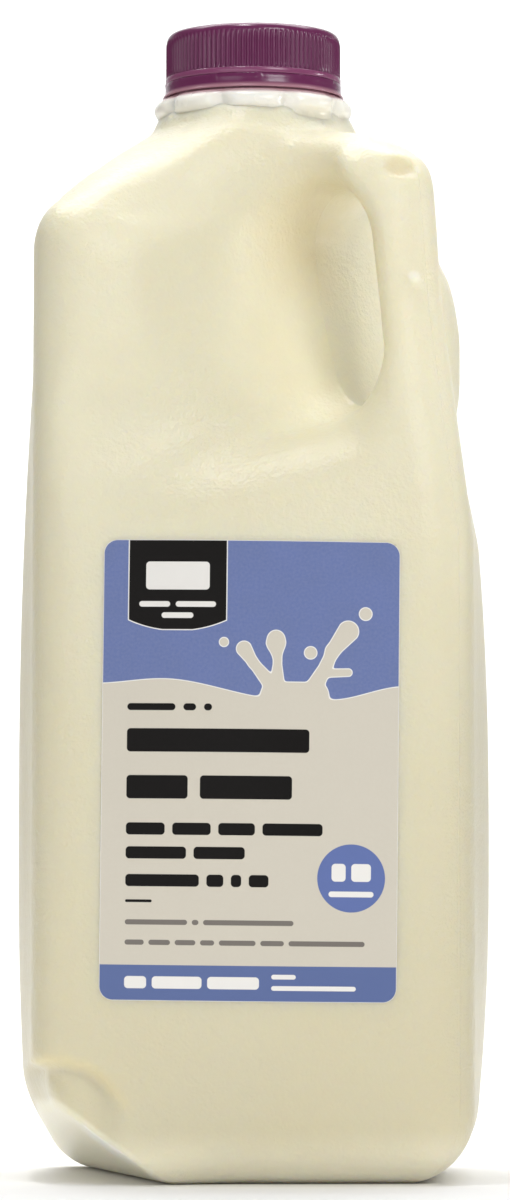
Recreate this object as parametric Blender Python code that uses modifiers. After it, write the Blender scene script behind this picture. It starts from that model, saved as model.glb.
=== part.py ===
"""A half-gallon plastic milk jug, shut and full, built in Blender.

The jug is blow-moulded in two mould halves that meet in an upright plane through the
handle corner and the corner opposite it. It stands on z = 0 with its axis on +Z. The
label faces -Y, and the handle corner points to +X -Y.

Run it with: blender --background --python part.py
"""

import math

import bmesh
import bpy
import numpy as np
from mathutils import Vector

MM = 0.001

# Driving dimensions, in metres
HEIGHT = 255.0 * MM                  # floor to the top of the cap
HALF_WIDTH = 47.7 * MM               # axis to the corner posts' faces
POST_RADIUS = 12.0 * MM              # rounding of the upright corners
PANEL_BULGE = 4.8 * MM               # how far the milk pushes each side panel out
PANEL_HALF = 39.0 * MM               # half the width of the part that bulges
BULGE_Z = 75.0 * MM                  # height of the fullest place
BULGE_UP = 90.0 * MM                 # the bulge ends this far above it
BULGE_DOWN = 82.0 * MM               # and this far below it
BULGE_FALL = 2.5                     # power of its fall towards the top and the foot
BULGE_EDGE = 1.5                     # power of its fall towards the posts
HEEL_RADIUS = 11.0 * MM              # rounding between the base and the walls

SHOULDER_Z = 208.5 * MM              # the walls end and the sloping shoulder starts
NECK_Z = 234.5 * MM                  # the shoulder meets the neck
NECK_FOOT_RADIUS = 22.0 * MM
NECK_RADIUS = 18.2 * MM
NECK_STEP = 1.6 * MM                 # the neck is this much wider under the collar
NECK_SUNK = 9.0 * MM                 # it reaches this far down into the body
MOUTH_ROUND = 1.0 * MM               # bevel round the mouth
BORE_SUNK = 10.0 * MM                # the bore reaches this far below the neck's foot
COLLAR_RADIUS = 21.9 * MM            # the lobed collar under the cap
COLLAR_LOW = 235.2 * MM
COLLAR_HIGH = 240.2 * MM
COLLAR_LOBES = 9
NOTCH_RADIUS = 1.3 * MM              # the round notches between the lobes

CAP_RADIUS = 19.3 * MM
CAP_WALL = 0.75 * MM
CAP_TOP = 1.2 * MM                   # thickness of its top
CAP_ROUND = 1.8 * MM                 # rounding of its upper edge
SKIRT_STEP = 0.3 * MM                # the plain strip stands proud of the ribbed part
BAND_FLARE = 0.2 * MM                # the tamper band widens by this much to its foot
RIB_FOOT_Z = 245.6 * MM              # the ribs end here
TEAR_Z = 244.6 * MM                  # the cut between the cap and its tamper band
BAND_LOW = 240.9 * MM
TEAR_GAP = 0.35 * MM
GAP = 0.3 * MM                       # clearance between pieces that touch

GRIP_TOP_Z = 218.0 * MM              # finger hole, measured on the mould line
GRIP_FLOOR_Z = 168.0 * MM
GRIP_WALL_S = 19.0 * MM              # the hole's body side, from the axis
GRIP_HANDLE_S = 49.3 * MM            # the hole's handle side, at its widest
GRIP_FALL = 0.33                     # slope of the hole's floor towards the jug's sides
GRIP_FLARE = 9.0 * MM                # how far the hole's top opens up beside the neck
GRIP_LOW_BEND = 11.0 * MM            # rounding of the hole's outline
GRIP_HIGH_BEND = 8.0 * MM
FLARE_FROM, FLARE_FULL = 8.0 * MM, 26.0 * MM         # where the top opens up, from the mould plane
FLARE_BODY, FLARE_HANDLE = 20.0 * MM, 46.0 * MM      # and where it stops, from the axis
WALL_CURVE_DROP = 4.0 * MM           # the body side starts to curve out this far under the top
WALL_CURVE = 0.005 / MM              # how fast it curves out
WALL_CURVE_FADE = 25.0 * MM          # the curve fades with the distance from the mould plane
WALL_DRAFT = 0.04                    # slope of the body side, so that the mould can part
WALL_SPREAD = 0.00142 / MM           # and how the slope grows
HANDLE_CROWN = 4.5 * MM              # the handle's inner side is rounded by this much
HANDLE_HALF = 10.0 * MM              # half the width of the handle's inner side
CROWN_LIMIT = 1.2                    # beyond that the rounding goes on, up to this many crowns
HANDLE_LEAN_Z = 180.0 * MM           # the handle's inner side leans from here up
HANDLE_LEAN = 0.14                   # with this slope
REACH = 80.0 * MM                    # the cutter runs this far to each side of the mould plane

LEAN_Z = 139.0 * MM                  # the handle corner leans inwards from here up
LEAN_TOP_Z = 213.0 * MM
LEAN = 13.0 * MM                     # how far it has come in at LEAN_TOP_Z, along the mould plane
LEAN_FROM, LEAN_FULL = 12.0 * MM, 52.0 * MM          # the lean grows between these distances from the axis
HIP_RISE = 8.0 * MM                  # the shoulder stands higher at the corner opposite the handle
HIP_FROM, HIP_FULL = 18.0 * MM, 52.0 * MM            # this rise grows between these distances
ARM_RISE = 13.0 * MM                 # and higher still over the handle
ARM_FROM, ARM_FULL = 22.0 * MM, 56.0 * MM
RISE_DEPTH = 22.0 * MM               # the rises start this far under the shoulder

WALL = 0.8 * MM                      # thickness of the blown plastic
MILK_GAP = 0.45 * MM                 # between the wall and the milk, so that they never touch
MILK_Z = 230.0 * MM                  # the milk is filled up to here

DENT_SLOPE = Vector((-0.77, -0.179)) # the knocked corner is one plane facet: z rises by this along X and Y
DENT_DROP = 23.1 * MM                # and it would cross the axis this far under the floor
BLANK_FOOT_Z = -0.5 * MM             # the blank reaches below the floor, and is cut flat there
FOOT_RECESS_RADIUS = 28.0 * MM       # the base is pushed up inside its standing ring
FOOT_RECESS_DEPTH = 2.6 * MM

LABEL_WIDTH = 63.4 * MM
LABEL_HEIGHT = 98.4 * MM
LABEL_CORNER = 3.0 * MM
LABEL_X = -0.7 * MM
LABEL_Z = 88.5 * MM
LABEL_THICKNESS = 0.3 * MM
LABEL_TILT = math.radians(-0.6)      # it was put on a little askew

VOXEL = 2.0 * MM
SMOOTHING = 14
FACES_KEPT = 0.0344                  # share of the remeshed faces that the solid keeps
ROUND_STEPS = 48                     # sides of a turned piece

SLAB_SIDE = 200.0 * MM               # size of the slabs that cut level faces
SLAB_DEPTH = 20.0 * MM

# The mould plane holds +Z and ALONG; ACROSS is square to it.
ALONG = Vector((1.0, -1.0, 0.0)).normalized()
ACROSS = Vector((-1.0, -1.0, 0.0)).normalized()
UP = Vector((0.0, 0.0, 1.0))


def clear_scene():
    for old in list(bpy.data.objects):
        bpy.data.objects.remove(old, do_unlink=True)


def new_collection(name):
    made = bpy.data.collections.new(name)
    bpy.context.scene.collection.children.link(made)
    return made


def material(name, colour, roughness):
    made = bpy.data.materials.new(name)
    made.use_nodes = True
    shader = made.node_tree.nodes["Principled BSDF"]
    shader.inputs["Base Color"].default_value = (*colour, 1.0)
    shader.inputs["Roughness"].default_value = roughness
    shader.inputs["Metallic"].default_value = 0.0
    return made


def new_object(name, mesh, collection, look=None):
    made = bpy.data.objects.new(name, mesh)
    collection.objects.link(made)
    if look:
        mesh.materials.append(look)
    return made


def loft(name, sections, collection, look=None):
    """A closed solid through rings that all have the same number of points."""
    cage = bmesh.new()
    rings = [[cage.verts.new(point) for point in ring] for ring in sections]
    count = len(rings[0])
    for low, high in zip(rings, rings[1:]):
        for i in range(count):
            j = (i + 1) % count
            cage.faces.new((low[i], low[j], high[j], high[i]))
    cage.faces.new(rings[0])
    cage.faces.new(rings[-1])
    bmesh.ops.recalc_face_normals(cage, faces=cage.faces)
    mesh = bpy.data.meshes.new(name)
    cage.to_mesh(mesh)
    cage.free()
    return new_object(name, mesh, collection, look)


def turned(name, profile, collection, look=None, steps=ROUND_STEPS):
    """A profile of (radius, height) points turned about +Z, listed outer side first, top to bottom."""
    mesh = bpy.data.meshes.new(name)
    points = [(radius, 0.0, height) for radius, height in profile]
    mesh.from_pydata(points, [(i, i + 1) for i in range(len(points) - 1)], [])
    made = new_object(name, mesh, collection, look)
    screw = made.modifiers.new("Turn", "SCREW")
    screw.axis = "Z"
    screw.steps = steps
    screw.render_steps = steps
    screw.use_merge_vertices = True
    screw.merge_threshold = 0.00001
    return made


def helper(tool):
    tool.hide_render = True
    tool.display_type = "WIRE"
    return tool


def boolean(target, tool, operation):
    step = target.modifiers.new(f"{operation.title()} {tool.name}", "BOOLEAN")
    step.operation = operation
    step.object = tool
    step.solver = "EXACT"
    return step


def as_mesh(source, name, collection, look=None):
    """A new object that holds what source's modifiers make of it."""
    graph = bpy.context.evaluated_depsgraph_get()
    mesh = bpy.data.meshes.new_from_object(source.evaluated_get(graph))
    mesh.name = name
    mesh.materials.clear()
    made = new_object(name, mesh, collection, look)
    made.matrix_world = source.matrix_world
    return made


def arc(centre, radius, start_deg, end_deg, steps):
    """Points (radius, height) along an arc, for a turned profile."""
    angles = np.radians(np.linspace(start_deg, end_deg, steps + 1))
    return [(centre[0] + radius * math.cos(a), centre[1] + radius * math.sin(a)) for a in angles]


def smooth_step(value, low, high):
    share = min(max((value - low) / (high - low), 0.0), 1.0)
    return share * share * (3.0 - 2.0 * share)


def bulge_at(along_side, z):
    """How far a side panel stands out, at a place across the panel and a height."""
    reach = BULGE_UP if z > BULGE_Z else BULGE_DOWN
    upright = max(0.0, 1.0 - abs((z - BULGE_Z) / reach) ** BULGE_FALL)
    across = max(0.0, 1.0 - (along_side / PANEL_HALF) ** 2) ** BULGE_EDGE
    return PANEL_BULGE * upright * across


def lean_in(x, y, z):
    """Moves a point of the body: the handle corner leans in, and both mould-line corners stand high."""
    along = (x - y) / math.sqrt(2)
    lean = max(0.0, (z - LEAN_Z) / (LEAN_TOP_Z - LEAN_Z))
    shift = LEAN * lean * smooth_step(along, LEAN_FROM, LEAN_FULL) / math.sqrt(2)
    near_top = smooth_step(z, SHOULDER_Z - RISE_DEPTH, SHOULDER_Z)
    rise = HIP_RISE * smooth_step(-along, HIP_FROM, HIP_FULL)
    rise += ARM_RISE * smooth_step(along, ARM_FROM, ARM_FULL)
    return x - shift, y + shift, z + near_top * rise


def body_section(z, per_side=24):
    """One level ring: a rounded square that turns into a circle as the shoulder rises."""
    rise = min(max((z - SHOULDER_Z) / (NECK_Z - SHOULDER_Z), 0.0), 1.0)
    half = HALF_WIDTH + (NECK_FOOT_RADIUS - HALF_WIDTH) * rise
    corner = POST_RADIUS + (NECK_FOOT_RADIUS - POST_RADIUS) * rise
    under = min(max(0.0, BLANK_FOOT_Z + HEEL_RADIUS - z), HEEL_RADIUS)
    half -= HEEL_RADIUS - math.sqrt(HEEL_RADIUS**2 - under**2)
    ring = []
    for side in range(4):
        turn = math.pi / 2 * side
        for i in range(per_side):
            angle = math.radians(-45.0 + 90.0 * i / per_side)
            flat = half - corner
            reach = half / math.cos(angle)
            place = Vector((reach * math.cos(angle), reach * math.sin(angle)))
            if abs(place.y) > flat:
                # On the rounded corner the ray from the axis meets the corner's circle.
                centre = Vector((flat, math.copysign(flat, place.y)))
                ray = Vector((math.cos(angle), math.sin(angle)))
                middle = ray.dot(centre)
                reach = middle + math.sqrt(max(0.0, corner**2 - centre.length_squared + middle**2))
                place = ray * reach
            place.x += bulge_at(place.y, z)
            x = place.x * math.cos(turn) - place.y * math.sin(turn)
            y = place.x * math.sin(turn) + place.y * math.cos(turn)
            ring.append(lean_in(x, y, z))
    return ring


def body_blank(collection):
    heel = [BLANK_FOOT_Z + HEEL_RADIUS * (1.0 - math.cos(math.radians(a))) for a in range(0, 90, 15)]
    walls = np.linspace(BLANK_FOOT_Z + HEEL_RADIUS, SHOULDER_Z, 46)
    shoulder = np.linspace(SHOULDER_Z, NECK_Z, 10)[1:]
    levels = [*heel, *walls, *shoulder]
    return loft("body_blank", [body_section(float(z)) for z in levels], collection)


def grip_wall(across, z):
    """Where the grip's body side stands along the mould plane, at a distance across it."""
    away = abs(across)
    dip = max(GRIP_TOP_Z - WALL_CURVE_DROP - z, 0.0)
    curve = WALL_CURVE * dip**2 * math.exp(-away / WALL_CURVE_FADE)
    return GRIP_WALL_S + curve - WALL_DRAFT * away - WALL_SPREAD * away**2


def grip_floor(across):
    """The grip's floor, which falls towards both sides of the jug."""
    return GRIP_FLOOR_Z - GRIP_FALL * abs(across)


def grip_ceiling(along, across):
    """The underside of the handle's upper arm, which opens upwards beside the neck."""
    beside = smooth_step(abs(across), FLARE_FROM, FLARE_FULL)
    near_body = 1.0 - smooth_step(along, FLARE_BODY, FLARE_HANDLE)
    return GRIP_TOP_Z + GRIP_FLARE * beside * near_body


def handle_side(across, z):
    """The handle's inner side: it leans with the corner, and is rounded across."""
    lean = HANDLE_LEAN * max(0.0, z - HANDLE_LEAN_Z)
    crown = HANDLE_CROWN * max(-CROWN_LIMIT, 1.0 - (across / HANDLE_HALF) ** 2)
    return GRIP_HANDLE_S - lean - crown


def bend_points(corner, radius, from_deg, steps=6):
    """A quarter turn of the outline, counter-clockwise, round the corner's own centre."""
    angles = np.radians(np.linspace(from_deg, from_deg + 90.0, steps + 1))
    return [(corner[0] + radius * math.cos(a), corner[1] + radius * math.sin(a)) for a in angles]


def grip_section(across, rows=12):
    """The grip's outline at one distance across the mould plane, as a closed ring."""
    floor, low, high = grip_floor(across), GRIP_LOW_BEND, GRIP_HIGH_BEND
    foot = grip_wall(across, floor + low)
    right_low, right_high = handle_side(across, floor + low), handle_side(across, GRIP_TOP_Z - high)
    outline = bend_points((foot + low, floor + low), low, 180.0)
    outline += bend_points((right_low - low, floor + low), low, 270.0)
    for z in np.linspace(floor + low, GRIP_TOP_Z - high, rows)[1:-1]:
        outline.append((handle_side(across, float(z)), float(z)))
    outline += bend_points((right_high - high, GRIP_TOP_Z - high), high, 0.0)
    wall_top = grip_wall(across, GRIP_TOP_Z)
    for s in np.linspace(right_high - high, wall_top, rows)[1:]:
        outline.append((float(s), grip_ceiling(float(s), across)))
    for z in np.linspace(grip_ceiling(wall_top, across), floor + low, rows)[1:-1]:
        outline.append((grip_wall(across, float(z)), float(z)))
    return [ALONG * s + UP * z + ACROSS * across for s, z in outline]


def grip_cutter(collection):
    """The space for the fingers, which runs square through the handle corner."""
    places = np.linspace(-REACH, REACH, 65)
    return helper(loft("grip_cutter", [grip_section(float(a)) for a in places], collection))


def sphere(name, centre, radius, collection, segments=64):
    mesh = bpy.data.meshes.new(name)
    ball = bmesh.new()
    bmesh.ops.create_uvsphere(ball, u_segments=segments, v_segments=segments // 2, radius=radius)
    ball.to_mesh(mesh)
    ball.free()
    made = new_object(name, mesh, collection)
    made.location = centre
    return helper(made)


def foot_recess(collection):
    """A wide flat dome under the base, so that the jug stands on a ring."""
    half, rise = FOOT_RECESS_RADIUS, FOOT_RECESS_DEPTH
    radius = (half**2 + rise**2) / (2 * rise)
    return sphere("foot_recess", Vector((0, 0, rise - radius)), radius, collection, segments=96)


def slab(name, middle_z, collection):
    """A wide level slab, which cuts off all that is between its two faces."""
    mesh = bpy.data.meshes.new(name)
    box = bmesh.new()
    bmesh.ops.create_cube(box, size=1.0)
    bmesh.ops.scale(box, vec=(SLAB_SIDE, SLAB_SIDE, SLAB_DEPTH), verts=box.verts)
    box.to_mesh(mesh)
    box.free()
    made = new_object(name, mesh, collection)
    made.location = (0, 0, middle_z)
    return helper(made)


def facet_cutter(collection):
    """A slab that lies against the knocked corner's facet, and cuts off all that is outside it."""
    outwards = Vector((*DENT_SLOPE, -1.0))
    cutter = slab("facet_cutter", 0.0, collection)
    cutter.rotation_euler = outwards.to_track_quat("Z", "Y").to_euler()
    cutter.location = outwards.normalized() * (DENT_DROP / outwards.length + SLAB_DEPTH / 2)
    return cutter


def neck_blank(collection):
    """The neck under the cap, with the lobed collar that the tamper band clicks over."""
    bead = (COLLAR_HIGH - COLLAR_LOW) / 2
    bead_middle = (COLLAR_RADIUS - bead, (COLLAR_HIGH + COLLAR_LOW) / 2)
    top = HEIGHT - CAP_TOP - 2 * GAP
    inside = NECK_Z - NECK_SUNK
    foot = NECK_RADIUS + NECK_STEP
    profile = [(0.0, top), (NECK_RADIUS - MOUTH_ROUND, top), (NECK_RADIUS, top - MOUTH_ROUND),
               (NECK_RADIUS, COLLAR_HIGH), *arc(bead_middle, bead, 90, -90, 8),
               (foot, COLLAR_LOW), (foot, inside), (0.0, inside)]
    return helper(turned("neck_blank", profile, collection))


def notch_cutter(collection):
    """Nine upright pins on the collar's edge, in one helper: they part its lobes."""
    mesh = bpy.data.meshes.new("notch_cutter")
    pins = bmesh.new()
    height = 3 * (COLLAR_HIGH - COLLAR_LOW)
    for i in range(COLLAR_LOBES):
        angle = 2 * math.pi * (i + 0.5) / COLLAR_LOBES - math.pi / 2
        made = bmesh.ops.create_cone(pins, cap_ends=True, segments=12, radius1=NOTCH_RADIUS,
                                     radius2=NOTCH_RADIUS, depth=height)
        at = (COLLAR_RADIUS * math.cos(angle), COLLAR_RADIUS * math.sin(angle),
              (COLLAR_HIGH + COLLAR_LOW) / 2)
        bmesh.ops.translate(pins, vec=at, verts=made["verts"])
    pins.to_mesh(mesh)
    pins.free()
    return helper(new_object("notch_cutter", mesh, collection))


def body_shape(tools):
    """The body without its neck: a square bottle with its finger hole cut through one corner."""
    blank = body_blank(tools)
    boolean(blank, grip_cutter(tools), "DIFFERENCE")
    boolean(blank, facet_cutter(tools), "DIFFERENCE")
    boolean(blank, foot_recess(tools), "DIFFERENCE")
    soften = blank.modifiers.new("Soften", "REMESH")
    soften.mode = "VOXEL"
    soften.voxel_size = VOXEL
    ease = blank.modifiers.new("Ease", "SMOOTH")
    ease.factor = 0.5
    ease.iterations = SMOOTHING
    thin = blank.modifiers.new("Thin", "DECIMATE")
    thin.ratio = FACES_KEPT
    helper(blank)
    shape = helper(as_mesh(blank, "body_shape", tools))
    boolean(shape, slab("floor_cutter", -SLAB_DEPTH / 2, tools), "DIFFERENCE")
    return shape


def shrunk(shape, name, by, collection):
    """A copy of a closed shape whose skin stands further in."""
    whole = as_mesh(shape, f"{name}_whole", collection)
    inwards = whole.modifiers.new("Inwards", "DISPLACE")
    inwards.direction = "NORMAL"
    inwards.mid_level = 0.0
    inwards.strength = -by
    made = as_mesh(whole, name, collection)
    bpy.data.objects.remove(whole, do_unlink=True)
    return made


def make_jug(shape, parts, tools, look):
    """The blown jug: the body and its neck, hollow, and open at the mouth."""
    jug = as_mesh(shape, "jug", parts, look)
    neck = neck_blank(tools)
    boolean(neck, notch_cutter(tools), "DIFFERENCE")
    boolean(jug, neck, "UNION")
    boolean(jug, helper(shrunk(shape, "cavity", WALL, tools)), "DIFFERENCE")
    radius = NECK_RADIUS - WALL
    low = NECK_Z - BORE_SUNK
    bore = [(0.0, HEIGHT), (radius, HEIGHT), (radius, low), (0.0, low)]
    boolean(jug, helper(turned("bore", bore, tools)), "DIFFERENCE")


def make_milk(shape, parts, tools, look):
    """The milk, which fills the body and the handle up to the neck's foot."""
    milk = shrunk(shape, "milk", WALL + MILK_GAP, parts)
    milk.data.materials.append(look)
    boolean(milk, slab("level_cutter", MILK_Z + SLAB_DEPTH / 2, tools), "DIFFERENCE")


def make_cap(parts, look):
    """The screw cap down to the tear line: a disc with a ribbed skirt and a plain strip."""
    outer, strip = CAP_RADIUS, CAP_RADIUS + SKIRT_STEP
    inner = outer - CAP_WALL
    ceiling = HEIGHT - CAP_TOP
    low = TEAR_Z + TEAR_GAP / 2
    rim = arc((outer - CAP_ROUND, HEIGHT - CAP_ROUND), CAP_ROUND, 90, 0, 5)
    profile = [(0.0, HEIGHT), *rim, (outer, RIB_FOOT_Z + SKIRT_STEP), (strip, RIB_FOOT_Z), (strip, low),
               (inner, low), (inner, ceiling), (0.0, ceiling)]
    return turned("screw_cap", profile, parts, look)


def make_band(parts, look):
    """The tamper band left under the tear line, a plain hoop that flares a little."""
    outer = CAP_RADIUS + SKIRT_STEP
    inner = CAP_RADIUS - CAP_WALL
    high = TEAR_Z - TEAR_GAP / 2
    foot = outer + BAND_FLARE
    profile = [(outer, high), (foot, BAND_LOW), (inner, BAND_LOW), (inner, high), (outer, high)]
    return turned("tamper_band", profile, parts, look)


def front_y(x, z):
    """The jug's front wall at a place on the label."""
    return -(HALF_WIDTH + bulge_at(x, z))


def make_label(parts, look, columns=10, rows=14):
    """The front label: a thin sheet with round corners, laid on the bulging panel."""
    cage = bmesh.new()
    bmesh.ops.create_grid(cage, x_segments=columns, y_segments=rows, size=0.5)
    half = Vector((LABEL_WIDTH / 2, LABEL_HEIGHT / 2))
    for vert in cage.verts:
        # The grid's lines stand closer together towards the edges, for round corners.
        u = half.x * math.sin(math.pi * vert.co.x)
        v = half.y * math.sin(math.pi * vert.co.y)
        corner = Vector((math.copysign(half.x - LABEL_CORNER, u), math.copysign(half.y - LABEL_CORNER, v)))
        out = Vector((u, v)) - corner
        if out.x * u > 0 and out.y * v > 0 and out.length > LABEL_CORNER:
            u, v = corner + out.normalized() * LABEL_CORNER
        x = LABEL_X + u * math.cos(LABEL_TILT) - v * math.sin(LABEL_TILT)
        z = LABEL_Z + u * math.sin(LABEL_TILT) + v * math.cos(LABEL_TILT)
        vert.co = (x, front_y(x, z) - GAP, z)
    bmesh.ops.recalc_face_normals(cage, faces=cage.faces)
    mesh = bpy.data.meshes.new("front_label")
    cage.to_mesh(mesh)
    cage.free()
    label = new_object("front_label", mesh, parts, look)
    wall = label.modifiers.new("Thickness", "SOLIDIFY")
    wall.thickness = LABEL_THICKNESS
    wall.offset = 1.0 if mesh.polygons[0].normal.y < 0 else -1.0
    return label


def main():
    clear_scene()
    parts = new_collection("milk_jug")
    tools = new_collection("cutters")
    cream = material("cream_plastic", (0.83, 0.79, 0.62), 0.35)
    white = material("milk_white", (0.88, 0.85, 0.76), 0.3)
    plum = material("plum_plastic", (0.16, 0.035, 0.10), 0.35)
    paper = material("label_print", (0.68, 0.64, 0.60), 0.5)
    shape = body_shape(tools)
    make_jug(shape, parts, tools, cream)
    make_milk(shape, parts, tools, white)
    make_cap(parts, plum)
    make_band(parts, plum)
    make_label(parts, paper)


main()
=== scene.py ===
# %% [markdown]
# # A full half-gallon milk jug
# The jug is blown from polythene in a mould of two halves, filled with milk, capped and labelled.
# This lesson builds what the eye sees round a plain engineering model, the frame: the blown skin with
# its finger hole, the neck's collar, the ribbed cap with its tamper band, and the printed label.
# Every length is worked out in millimetres, and turned into metres when a mesh is made.

# %% The frame
import math

import bpy
import numpy as np
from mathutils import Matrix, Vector


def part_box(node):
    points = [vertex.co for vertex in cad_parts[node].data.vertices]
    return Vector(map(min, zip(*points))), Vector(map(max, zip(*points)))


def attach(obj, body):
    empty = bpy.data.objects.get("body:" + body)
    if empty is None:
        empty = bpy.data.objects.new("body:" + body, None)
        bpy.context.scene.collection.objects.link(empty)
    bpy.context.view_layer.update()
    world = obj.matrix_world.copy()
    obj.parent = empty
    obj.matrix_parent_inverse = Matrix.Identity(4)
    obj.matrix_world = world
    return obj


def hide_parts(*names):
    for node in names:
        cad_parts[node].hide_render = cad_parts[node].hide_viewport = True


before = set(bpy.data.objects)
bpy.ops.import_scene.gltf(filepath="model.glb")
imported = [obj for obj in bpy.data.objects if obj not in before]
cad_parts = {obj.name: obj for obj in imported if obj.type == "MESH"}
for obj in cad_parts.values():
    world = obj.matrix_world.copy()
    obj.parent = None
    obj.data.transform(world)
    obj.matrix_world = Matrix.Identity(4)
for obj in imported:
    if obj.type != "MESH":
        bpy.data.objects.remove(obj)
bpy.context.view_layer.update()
MM = 0.001
print("frame nodes:", sorted(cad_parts))


# %% [markdown]
# ## Small tools
# Three functions carry most of the shapes. `ease` is the smooth step between two values. `both` keeps
# what lies inside two shapes and rounds the edge where they meet, and `either` joins two shapes and
# fills the corner between them. A shape is a field: a number for each place in space, negative inside
# and positive outside, which grows by about one for each millimetre.

# %% Blending fields
def ease(value, low, high):
    """0 below low, 1 above high, and 3h^2 - 2h^3 between them, with h the share of the way."""
    share = np.clip((value - low) / (high - low), 0.0, 1.0)
    return share * share * (3.0 - 2.0 * share)


def both(a, b, radius):
    """Inside a and b: the larger field, with a round edge of that radius where the two faces meet."""
    corner = np.hypot(np.maximum(a + radius, 0.0), np.maximum(b + radius, 0.0))
    return np.minimum(-radius, np.maximum(a, b)) + corner


def either(a, b, radius):
    """Inside a or b, with the corner between them filled to that radius."""
    return -both(-a, -b, radius)


print("ease halfway:", ease(np.array([0.5]), 0.0, 1.0))

# %% Putting arrays into meshes
def solid_piece(name, points_mm, faces, material, node):
    """A mesh object from arrays, which rides on the root body and stands for a frame node."""
    mesh = bpy.data.meshes.new(name)
    mesh.from_pydata((points_mm * MM).tolist(), [], faces.tolist())
    mesh.materials.append(material)
    mesh.shade_smooth()
    piece = bpy.data.objects.new(name, mesh)
    bpy.context.scene.collection.objects.link(piece)
    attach(piece, "root")
    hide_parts(node)
    print(f"{name}: {len(points_mm)} points, {len(faces)} faces")
    return piece


def ring_faces(rows, columns):
    """The quads of a grid that closes on itself both ways, as on a ring: (rows * columns, 4) indices."""
    row, column = np.meshgrid(np.arange(rows), np.arange(columns), indexing="ij")
    next_row, next_column = (row + 1) % rows, (column + 1) % columns
    corners = (row * columns + column, row * columns + next_column,
               next_row * columns + next_column, next_row * columns + column)
    return np.stack(corners, axis=-1).reshape(-1, 4)


# %% [markdown]
# ## The body as a field
# A square bottle starts as four walls. Opposite walls are a width apart, each corner post is rounded,
# and the weight of the milk swells every panel. On top, four slopes close in on a round neck. The
# corner with the handle leans inwards, so the field is measured at a place that is pushed back
# outwards first. Both corners on the mould line stand a little high, and the ridge over the front sags
# a little to the left of its middle.

# %% Sizes of the body
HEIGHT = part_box("jug")[1].z / MM
HALF_WIDTH = 47.7
POST_RADIUS = 12.0
HEEL_RADIUS, KNOCKED_HEEL = 15.6, 7.0
BULGE_HALF, BULGE_Z = 39.0, 75.0
BULGE_FALL, BULGE_POWER = 2.5, 1.5
# Each panel's swell, and how far it reaches up and down from its fullest height.
FRONT_SWELL, LEFT_SWELL, RIGHT_SWELL = (4.8, 90.0, 82.0), (4.4, 115.0, 88.0), (4.7, 86.0, 76.0)
SHOULDER_Z, NECK_Z, NECK_FOOT = 208.5, 234.5, 22.0
SHOULDER_ROUND, ARM_ROUND = 4.5, 3.0
ARM_EDGE = (40.0, 75.0)
# A pair is where a change starts and where it ends, counted from the jug's axis unless it is a height.
SAG, SAG_START, SAG_END = 1.8, (2.0, 18.0), (20.0, 34.0)
LEAN_Z, LEAN_TOP_Z, LEAN, LEAN_OUT = 139.0, 213.0, 13.0, (12.0, 52.0)
HIP_RISE, HIP_OUT = 9.8, (18.0, 52.0)
ARM_RISE, ARM_OUT = 13.0, (22.0, 56.0)
RISE_LOW, RISE_HIGH = SHOULDER_Z - 22.0, SHOULDER_Z
TUCK, TUCK_HEIGHTS, TUCK_OUT = 5.5, (188.0, 214.0), (42.0, 85.0)
TURNS_ROUND = 7
print("jug height in mm:", round(HEIGHT, 1), "swollen depth:", 2 * (HALF_WIDTH + FRONT_SWELL[0]))


# %% Walls, slopes and heel
def bulge_at(lateral, z, panel):
    """How far a panel stands out: swell (1 - |dz / reach|^fall) (1 - (lateral / half)^2)^power."""
    swell, up, down = panel
    reach = np.where(z > BULGE_Z, up, down)
    upright = np.maximum(0.0, 1.0 - np.abs((z - BULGE_Z) / reach) ** BULGE_FALL)
    return swell * upright * np.maximum(0.0, 1.0 - (lateral / BULGE_HALF) ** 2) ** BULGE_POWER


def upright_place(x, y, z):
    """The place that leaned in and rose to (x, y, z).

    The forward rule is turned round by repeating it. The height moves by Newton's rule, its miss over
    the rule's slope, where the slope of ease is 6 h (1 - h) over the span.
    """
    along = (x - y) / math.sqrt(2.0)
    source, height = along, z
    for _ in range(TURNS_ROUND):
        rise = HIP_RISE * ease(-source, *HIP_OUT) + ARM_RISE * ease(source, *ARM_OUT)
        share = np.clip((height - RISE_LOW) / (RISE_HIGH - RISE_LOW), 0.0, 1.0)
        miss = height + rise * ease(height, RISE_LOW, RISE_HIGH) - z
        height = height - miss / (1.0 + rise * 6.0 * share * (1.0 - share) / (RISE_HIGH - RISE_LOW))
        lean = LEAN * np.maximum(0.0, (height - LEAN_Z) / (LEAN_TOP_Z - LEAN_Z))
        source = along + lean * ease(source, *LEAN_OUT)
    push = (source - along) / math.sqrt(2.0)
    tuck = TUCK * ease(z, *TUCK_HEIGHTS) * ease(x + y, *TUCK_OUT) / math.sqrt(2.0)
    return x + push + tuck, y - push + tuck, height


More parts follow.
